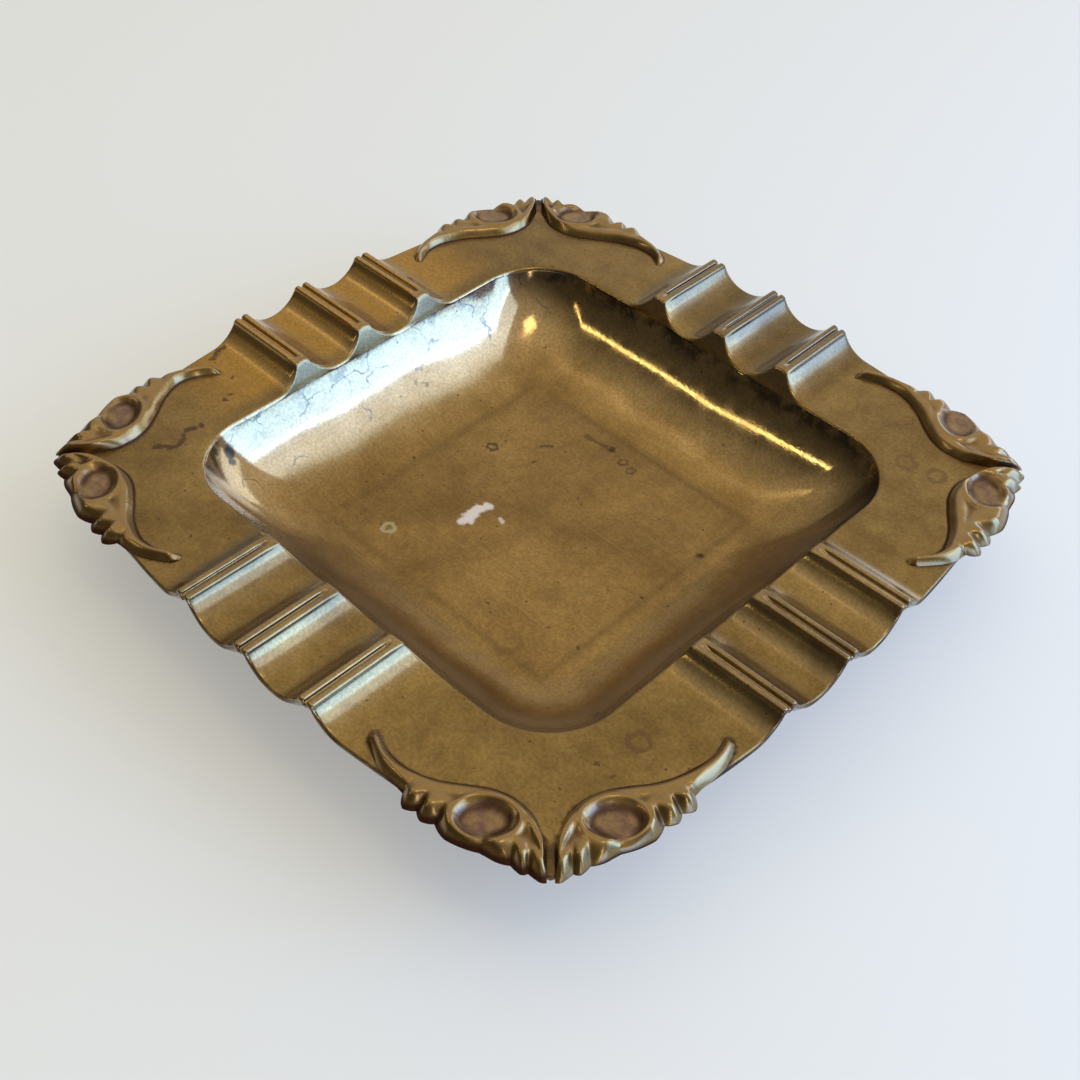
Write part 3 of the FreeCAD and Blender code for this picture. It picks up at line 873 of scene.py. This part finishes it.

# %% [markdown]
# Each kind of dirt and painted shade fades out over a reach of its own, as a bell curve does, and where
# two meet the stronger one counts. The result goes into the mesh as a value at each point, which the brass
# reads.

# %% Dirt and painted shade in the crevices of the tray
# How far dirt and painted shade reach from a spray, a gap and a ridge's foot, in mm, and how strong each is
spray_dirt_and_shade_reach, gap_dirt_and_shade_reach, foot_dirt_and_shade_reach = 0.6, 0.35, 0.3
spray_dirt_and_shade, gap_dirt_and_shade, foot_dirt_and_shade, edge_dirt_and_shade = 0.8, 0.4, 0.35, 0.8
first_top = len(floor_rows + wall_rows)
first_edge = first_top + len(lip_rows + rim_rows)
on_top = np.zeros(tray_rings.shape[:2])
on_top[first_top:first_edge + len(edge_rows)] = 1
on_edge = np.zeros((len(side), 1))
on_edge[first_edge + 2:first_edge + len(edge_rows) + 1] = edge_dirt_and_shade
by_spray = np.exp(-(np.maximum(away, 0) / spray_dirt_and_shade_reach) ** 2)
in_gap = np.where(is_fluted, np.exp(-((from_flute - ridge_pitch / 2) / gap_dirt_and_shade_reach) ** 2), 0)
at_foot = np.where(is_fluted, np.exp(-((from_flute - flute_half) / foot_dirt_and_shade_reach) ** 2), 0)
on_ridge = np.tile(np.maximum(gap_dirt_and_shade * in_gap, foot_dirt_and_shade * at_foot), 4)
tray_crevice = np.maximum(on_top * np.maximum(by_spray * spray_dirt_and_shade, on_ridge[None, :]), on_edge)
print("share of the tray that is dirty:", round(float((tray_crevice > 0.3).mean()), 3))

# %% [markdown]
# The casting takes the slow waves of hand work before it becomes a mesh. The wall swims the most,
# because it was polished the most, and the foot stays flat, because the tray stands on it.

# %% Tray mesh
wall_swim, other_swim, swim_blur = 0.06, 0.03, 3
wave_lengths, wave_seed = (34, 27, 21, 16, 12), 5
swim = np.full(len(side), other_swim)
swim[len(floor_rows):first_top - swim_blur] = wall_swim
blur = np.ones(2 * swim_blur + 1) / (2 * swim_blur + 1)
swim = np.convolve(np.pad(swim, swim_blur, mode="edge"), blur, "valid")
wave = waves(tray_rings, wave_lengths, 1.0, wave_seed) * swim[:, None]
wave[-len(foot_rows):] = 0
tray_rings = tray_rings + ring_normals(tray_rings) * wave[..., None]
tray = ring_piece("cast_tray", [tray_rings], tray_brass, crevice=[tray_crevice])
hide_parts("tray")

# %% [markdown]
# ## The sprays
#
# Each spray is a small relief: a rounded S-shaped border, an eye sunk in a raised ring, ribs at the
# corner, toothed lobes over the edge of the rim, and a tail that ends blunt. It is a height over the
# fanned grid, made by multiplying flanks and adding the ring and lobes. Sculpting by hand would give
# the same forms, but a formula can be repeated and mirrored for all eight.

# %% Relief of a spray
relief, drop, lobe_fullness = 2.0, 0.6, 0.7
border_height, plate_height, tail_bevel = 1.7, 1.25, 1.1
# Valleys between the lobes and crests of the lobes: (share, overhang at the foot, inset at the top)
valleys = np.array([(first_share, 0.5, 2.2), (0.098, 0.7, 2.2), (0.174, 1.0, 1.7), (0.305, 1.85, 0.4),
                    (0.504, 1.8, 1.1), (0.591, 1.65, 1.1), (fan_end, 0.6, 0.5)])
crests = np.array([(0.052, 0.95, 1.2), (0.132, 1.4, 0.7), (0.247, 1.75, 0.1), (0.44, 3.0, -1.0),
                   (0.553, 2.7, -0.2), (0.635, 2.6, -0.2)])
# The eye is an oval that lies square to the corner's diagonal: its middle, both radii and its depth
eye_middle, eye_long, eye_short, eye_depth = (64.25, 50.15), 4.9, 3.7, 1.35


def eye_share(x, y, shift):
    """Distance from the eye's middle as a share of its oval's edge."""
    to_side = (x - eye_middle[0] - shift[0]) / np.sqrt(2)
    to_corner = (y - eye_middle[1] - shift[1]) / np.sqrt(2)
    return np.hypot((to_side - to_corner) / eye_long, (to_side + to_corner) / eye_short)


def lobes(share):
    """Overhang at the foot and inset at the top of the lobed edge, and the climb from valley to crest."""
    k = np.clip(np.searchsorted(valleys[:, 0], share, side="right") - 1, 0, len(crests) - 1)
    low, high, next_low = (np.moveaxis(table, -1, 0) for table in (valleys[k], crests[k], valleys[k + 1]))
    base = np.where(share < high[0], low, next_low)
    climb = np.clip((share - base[0]) / (high[0] - base[0]), 0, 1)
    arch = climb * (1 + lobe_fullness - lobe_fullness * climb)
    return base[1] + (high[1] - base[1]) * arch, base[2] + (high[2] - base[2]) * arch, climb


print("lobes", len(crests))

# %% [markdown]
# Four lines run along a spray: the foot and the top of its inner flank, and those of its outer one.
# Along the lobes the flanks have their own widths. On the tail they grow until they meet, so that it
# becomes a ridge.

# %% Edges of a spray
# Width below which flanks thin out, where the tail turns to a ridge, and the flanks' shares of its width
full_width, ridge_start, ridge_full = 2.6, 0.66, 0.8
lean_share, tail_inner_share, tail_outer_share = 0.8, 0.42, 0.54
# Shares at which the lobes have ended and at which they are still full
lobes_end = (0.72, 0.66)


def spray_edges(share, curl):
    """Inner foot, inner top edge, outer foot and outer top edge of a spray, as insets."""
    inner, tail = tail_lines(share, curl)
    width = inner - tail
    narrowing = np.clip(width / full_width, 0.0, 1)
    ridged = ease(ridge_start, ridge_full, share)
    lean = lean_share * (through(inner_foot, share) - through(inner_top, share)) * narrowing
    lean = lean + (tail_inner_share * width - lean) * ridged
    bevel = tail_bevel * narrowing
    bevel = bevel + (tail_outer_share * width - bevel) * ridged
    overhang, top, _ = lobes(share)
    tailward = share >= fan_end
    return inner, inner - lean, np.where(tailward, tail, -overhang), np.where(tailward, tail + bevel, top)


def on_lobes(share):
    """1 along the lobes and 0 on the tail."""
    return ease(*lobes_end, share)


middle_edges = spray_edges(np.array([0.4, 0.9]), 0.0)
print("edges in the lobes and on the tail:", [edge.round(2).tolist() for edge in middle_edges])

# %% [markdown]
# The height is made of parts that a chaser would name: a round border that rises towards the corner
# and sinks towards the tail, a lower plate behind it, lobes with valleys cut between them, and the
# eye, which is a raised ring round a cup. Flanks multiply the height down to nothing at each edge.

# %% Height of a spray
# Powers of the long flanks and their least widths, and (start, width, power) of the short ones
inner_power, outer_power, least_inner, least_outer = 1.5, 1.6, 0.05, 0.3
groove_half, groove_flank, groove_power = 0.55, 0.75, 1.8
tip_flank, tip_power = 2.0, 1.6
tail_sink, corner_lift, valley_depth = 0.3, 0.7, 0.42
rib_length, corner_rib_length = 2.2, 1.6
# Where each form starts and where it is full: along the spray as shares, and across it in mm
plate_end, tail_sinks, corner_lifts, ribs_grow = (0.75, 0.62), (0.7, 0.95), (0.16, 0.03), (0.2, 0.1)
border_falls, lobes_rise, valley_end = (0.5, 2.0), (3.2, 0.8), -0.4
# The eye's ring and cup, as shares of the oval's edge, and how far the ring stands over the relief
ring_middle, ring_breadth, ring_lift = 1.13, 0.12, 0.05
cup_edge, cup_floor = 1.06, 0.7


def spray_height(share, inset, edges, eye_shift):
    """Height over the rim: a round border by the inner foot, a lower plate, raised lobes and a sunk eye."""
    inner, inner_edge, outer, outer_edge = edges
    x, y = spray_place(share, inset)
    inside = shoulder(inner - inset, np.maximum(inner - inner_edge, least_inner), inner_power)
    outside = shoulder(inset - outer, np.maximum(outer_edge - outer, least_outer), outer_power)
    by_groove = shoulder((x - y) / np.sqrt(2) - groove_half, groove_flank, groove_power)
    at_tip = shoulder((1 - share) * spray_length, tip_flank, tip_power)
    plated = ease(*plate_end, share)
    hang = drop * on_lobes(share)
    border = border_height - tail_sink * ease(*tail_sinks, share) + corner_lift * ease(*corner_lifts, share)
    past_border = ease(*border_falls, inner_edge - inset) * plated
    lobed = ease(*lobes_rise, inset) * plated
    rib_reach = rib_length + corner_rib_length * ease(*ribs_grow, share)
    valley = (1 - lobes(share)[2]) ** 2 * ease(rib_reach, valley_end, inset) * on_lobes(share)
    plate = plate_height + (relief - plate_height) * lobed
    crown = (border + (plate - border) * past_border) * (1 - valley_depth * valley)
    z = np.minimum(crown * inside * by_groove * at_tip, (crown + hang) * outside - hang)
    oval = eye_share(x, y, eye_shift)
    bump = np.exp(-((oval - ring_middle) / ring_breadth) ** 2)
    ring = (relief + ring_lift - crown) * bump * inside * outside
    cup = relief - eye_depth * ease(cup_edge, cup_floor, oval)
    return np.minimum(z + np.maximum(ring, 0), cup), oval


print("the eye's cup is", eye_depth, "mm deep in a relief of", relief, "mm")

# %% [markdown]
# The relief is softened a little, as sand casting softens a pattern. A point is hollow, and so gets dirt
# and painted shade, where it lies below a much smoother copy of the relief. Shade is also painted low on
# the outer flank, and a fringe of dirt and painted shadow runs along the inner foot, where the spray meets
# the rim.

# %% Dirt and painted shade of a spray
fine_smoothing, broad_smoothing = 9, 60
full_hollow, clean_foot, clean_tip = 0.35, 1.8, 2.5
# Painted shade starts and is full at these shares of the width, and ends and is full at these of the length
flank_shade_height, flank_shade_across, flank_shade_along = 0.6 * relief, (0.5, 0.9), (0.88, 0.74)


def smoothed(values, times):
    """Mean with the neighbours on four sides, repeated."""
    for _ in range(times):
        padded = np.pad(values, 1, mode="edge")
        values = (padded[:-2, 1:-1] + padded[2:, 1:-1] + padded[1:-1, :-2] + padded[1:-1, 2:]) / 4
    return values


def spray_dirt_and_shade_at(z, share, depth, width, flank_shade):
    """Dirt and painted shade by how far a point lies under the smoothed relief, and painted shade low on
    the outer flank.
    """
    by_tip = np.clip((1 - share) * spray_length / clean_tip, 0, 1)
    sunk = np.clip((smoothed(z, broad_smoothing) - z) / full_hollow, 0, 1)
    hollow = sunk * ease(0.0, clean_foot, depth) * by_tip
    # painted shade low on the outer flank, strongest on the sprays at the front left
    low_flank = ease(flank_shade_height, 0, z) * ease(*flank_shade_across, depth / width) * ease(*flank_shade_along, share)
    return np.maximum(hollow, flank_shade * low_flank)


print("grime reaches", flank_shade_height, "mm up the outer flank")

# %% [markdown]
# The relief is a grid with lines along and across the spray, crowded towards both edges, where it
# bends most. Each line across is closed by two points of the fringe and two of the flat underside, so
# that the spray is one closed skin that sits a hair into the rim.

# %% Loops of a spray
lines_along, points_across, crowding = 300, 84, 0.6
fringe_width, fringe_share, sunk_by = 0.35, 0.4, 0.02
foot_dirt_and_shade_height, foot_strength = 0.3, 0.8
# The fringe's two points, as shares of its breadth, the dirt and painted shadow on each, and how it comes
# in by the width
fringe_points, fringe_dirt_and_shade = np.array([1.0, 0.35]), (0.5, 0.8)
fringe_full_width, fringe_loss = 2.4, 0.25
# The underside's two points, as shares of the width, how far over the edge they may go, and how low
under_points, under_overhang, under_sunk = np.array([0.02, 0.05]), 0.12, 0.03
# Shares of the eye's oval where wax starts and where it is full
eye_wax = (1.02, 0.8)


def spray_rings(curl, reach, flank_shade, eye_shift):
    """Loops across a spray, one for each share: a fringe of dirt and painted shadow, the relief, then the
    flat underside.
    """
    share = np.linspace(first_share, 1, lines_along)
    edges = [line[:, None] for line in spray_edges(share, curl)]
    inner, outer = edges[0], edges[2]
    width = inner - outer
    crowded = (1 - np.cos(np.linspace(0, np.pi, points_across))) / 2
    even = np.linspace(0, 1, points_across)
    inset = inner - width * (crowding * crowded + (1 - crowding) * even)
    grid = share[:, None] + 0 * inset
    z, oval = spray_height(grid, inset, edges, eye_shift)
    z = smoothed(z, fine_smoothing)
    fringe = np.minimum(fringe_width, width * fringe_share) * fringe_points
    under = np.maximum(-under_overhang, outer + width * under_points)
    insets = np.concatenate([inner + fringe, inset, under], axis=1)
    x, y = spray_place(stretched(share, reach)[:, None] + 0 * insets, insets)
    flat = 0 * share[:, None]
    hang = drop * on_lobes(share)[:, None]
    heights = np.concatenate(
        [flat - sunk_by, flat + sunk_by, z, -hang - sunk_by, flat - under_sunk], axis=1)
    # The fringe dies out where the tail gets narrow
    rim_line = np.clip(width / fringe_full_width - fringe_loss, 0, 1)
    # painted contact shadow and dirt along the inner foot
    foot = foot_strength * ease(foot_dirt_and_shade_height, 0.0, inner - inset) * rim_line
    dirty_and_shaded = np.maximum(spray_dirt_and_shade_at(z, grid, inner - inset, width, flank_shade), foot)
    dirt_and_shade = np.concatenate([level * rim_line for level in fringe_dirt_and_shade] + [dirty_and_shaded, flat, flat], axis=1)
    eyes = np.concatenate([flat, flat, ease(*eye_wax, oval), flat, flat], axis=1)
    return np.stack([x, y, rim_top + heights], axis=-1), dirt_and_shade, eyes


print("points of one spray", lines_along * (points_across + 4))

# %% [markdown]
# Beneath the rim, each spray's two pegs are peened into low domes. They are turned shapes: a profile
# of radius and height carried once round.

# %% Peened peg heads
peg_radius, peg_sunk, head_radius, head_depth = 1.2, 0.6, 1.9, 0.8
head_steps, head_sides = 7, 24


def peg_dome(share, inset):
    """Dome beneath the rim: rings whose radius and depth follow a quarter ellipse."""
    turn = np.linspace(0, np.pi / 2, head_steps)[:-1]
    radius = np.concatenate([[peg_radius], head_radius * np.cos(turn)])
    depth = np.concatenate([[-peg_sunk], head_depth * np.sin(turn)])
    angle = np.linspace(0, 2 * np.pi, head_sides, endpoint=False)
    along = corner_reach - share * spray_length
    x = rim_edge(along) - inset + radius[:, None] * np.cos(angle)
    y = along + radius[:, None] * np.sin(angle)
    return np.stack([x, y, np.broadcast_to((rim_bottom - depth)[:, None], x.shape)], axis=-1)


# Places of the two pegs, as (share, inset)
pegs = [peg_dome(share, inset) for share, inset in ((0.165, 2.39), (0.559, 2.81))]
print("peg heads on each spray", len(pegs))

# %% [markdown]
# With everything in place, each spray is drawn with its own differences, and the drawing and its pegs
# are turned and mirrored to their corner. Mirroring the points, and not the object, leaves every
# object at the origin with no scale of its own.

# %% Eight sprays
for node_name, placing in placings:
    rings, dirt_and_shade, eyes = spray_rings(*tails[node_name], eye_shifts[node_name])
    shells = [shell @ placing for shell in [rings] + pegs]
    clean = [np.zeros(peg.shape[:2]) for peg in pegs]
    spray = ring_piece(node_name.replace("scroll", "spray"), shells, scroll_brass,
                       hollow=[dirt_and_shade] + clean, eye=[eyes] + clean)
    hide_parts(node_name)

# %% [markdown]
# ## Floor
#
# The tray stands on a plain pale floor, which keeps its shadow. More lamps would make the floor paler,
# but would also bleach the brass. So its paint is a middling grey, and rays from the camera or from a
# mirror see a little glow added to it.

# %% Floor
floor_reach = 3
floor_corners = [(-floor_reach, -floor_reach, 0), (floor_reach, -floor_reach, 0),
                 (floor_reach, floor_reach, 0), (-floor_reach, floor_reach, 0)]
floor_mesh = bpy.data.meshes.new("floor")
floor_mesh.from_pydata(floor_corners, [], [(0, 1, 2, 3)])
floor = bpy.data.objects.new("floor", floor_mesh)
bpy.context.scene.collection.objects.link(floor)
floor_paint, t = blank("pale_floor")
path = add(t, "ShaderNodeLightPath")
seen = reckon(t, "MAXIMUM", path.outputs["Is Camera Ray"], path.outputs["Is Glossy Ray"])
seen = reckon(t, "MAXIMUM", seen, path.outputs["Is Transmission Ray"])
floor_glow = 0.3
lift = reckon(t, "MULTIPLY", seen, floor_glow)
shader = add(t, "ShaderNodeBsdfPrincipled", {
    "Base Color": paint("b2b1aa"), "Roughness": 0.8, "Emission Color": paint("fbfbf8"),
    "Emission Strength": lift})
add(t, "ShaderNodeOutputMaterial", {"Surface": shader.outputs[0]})
floor_mesh.materials.append(floor_paint)
print("floor", 2 * floor_reach, "m across")

# %% [markdown]
# ## Room
#
# A room is brightest overhead and towards its windows, and dim by the floor. Brass shows this as its
# shading. The world's strength therefore follows the angle from one slanting direction. A picture of
# a real room would be mirrored in the basin; a plain fall-off gives only light and shade.

# %% World
brightest_way, dim, bright = (-0.05, 0.5, 0.86), 0.14, 1.08
world = bpy.data.worlds.new("pale_room")
world.use_nodes = True
t = world.node_tree
t.nodes.clear()
heading = add(t, "ShaderNodeTexCoord").outputs["Generated"]
overhead = add(t, "ShaderNodeVectorMath", {0: heading, 1: brightest_way},
               operation="DOT_PRODUCT").outputs["Value"]
strength = add(t, "ShaderNodeMapRange", {0: overhead, 1: 0.06, 2: 0.88, 3: dim, 4: bright},
               interpolation_type="SMOOTHSTEP").outputs[0]
glow = add(t, "ShaderNodeBackground", {"Color": paint("fff8e6"), "Strength": strength})
add(t, "ShaderNodeOutputWorld", {"Surface": glow.outputs[0]})
bpy.context.scene.world = world
print(world.name, "nodes", len(t.nodes))

# %% [markdown]
# ## Lamps
#
# Polished metal shows what it mirrors, so each lamp stands where a certain face mirrors it. A cool
# window in two parts gives the pale sheet on the left wall and along the flutes, and a low cool light
# at the side brightens flanks of the sprays. A thin warm strip draws the gold line on the back wall,
# and smaller warm ones add glints in and round the basin. A low light in front, with a narrow spread
# to spare the floor, brightens the lobes of the near sprays.

# %% Lamps
lamp_aim = 15.0


def soft_light(name, direction, distance, size, watts, code, spread=180):
    """Rectangular lamp that looks at the tray from a direction; sizes in metres, spread in degrees."""
    lamp = bpy.data.lights.new(name, "AREA")
    lamp.shape, lamp.size, lamp.size_y = "RECTANGLE", *size
    lamp.energy, lamp.color, lamp.spread = watts, paint(code)[:3], np.radians(spread)
    holder = bpy.data.objects.new(name, lamp)
    heading = Vector(direction).normalized()
    holder.location = heading * distance + Vector((0, 0, lamp_aim * MM))
    holder.rotation_euler = heading.to_track_quat("Z", "Y").to_euler()
    holder.visible_camera = False
    bpy.context.scene.collection.objects.link(holder)
    radiance = watts / (np.pi * size[0] * size[1])
    print(name, "radiance", round(radiance, 2))


soft_light("window_light", (0.80, 0.50, 0.31), 0.65, (0.48, 0.34), 4.4, "7fb2ff")
soft_light("upper_window_light", (0.62, 0.42, 0.66), 0.65, (0.5, 0.3), 1.5, "a0c4ff")
soft_light("side_light", (0.1, 0.98, 0.24), 0.8, (0.6, 0.22), 1.05, "c4dcff")
soft_light("narrow_warm_light", (-0.48, -0.666, 0.567), 0.7, (0.27, 0.015), 0.17, "fff4c8")
soft_light("upper_strip_light", (-0.5, -0.1, 0.86), 0.7, (0.05, 0.42), 0.12, "fff0c8")
soft_light("corner_strip_light", (0.8, -0.43, 0.35), 0.7, (0.035, 0.24), 0.3, "fff4dc")
soft_light("low_front_light", (0.963, -0.24, 0.113), 0.7, (0.55, 0.17), 0.22, "90b8ff", 60)
soft_light("zenith_light", (0.31, -0.06, 0.95), 0.7, (0.14, 0.14), 0.3, "fff0c8")

# %% [markdown]
# ## Camera
#
# The camera stands where the photograph was taken from: close by, above the front corner, and tilted
# a little. A close camera makes the near corner large, so distance and lens both matter. The lens
# follows from the focal length in pixels of the photograph and its width.

# %% Camera at the photograph's angle
azimuth, elevation, roll = np.radians((42.66, 44.86, 2.45))
target, camera_distance = np.array([16.43, -17.85, 23.0]), 264.8
focal_pixels, photo_pixels, sensor_width = 1537, 1080, 36.0
level = np.cos(elevation)
back = np.array([np.sin(azimuth) * level, -np.cos(azimuth) * level, np.sin(elevation)])
right = np.array([np.cos(azimuth), np.sin(azimuth), 0])
up = np.cross(back, right)
camera_x = np.cos(roll) * right + np.sin(roll) * up
camera_y = np.cos(roll) * up - np.sin(roll) * right
pose = np.eye(4)
pose[:3, :3] = np.stack([camera_x, camera_y, back], axis=1)
pose[:3, 3] = (target + back * camera_distance) * MM
camera_data = bpy.data.cameras.new("camera")
camera_data.sensor_width, camera_data.lens = sensor_width, sensor_width * focal_pixels / photo_pixels
camera_data.clip_start = 0.01
camera = bpy.data.objects.new("camera", camera_data)
camera.matrix_world = Matrix(pose.tolist())
bpy.context.scene.collection.objects.link(camera)
bpy.context.scene.camera = camera
bpy.context.scene.view_settings.view_transform = "Standard"
print("camera lens", round(camera_data.lens, 2), "mm")
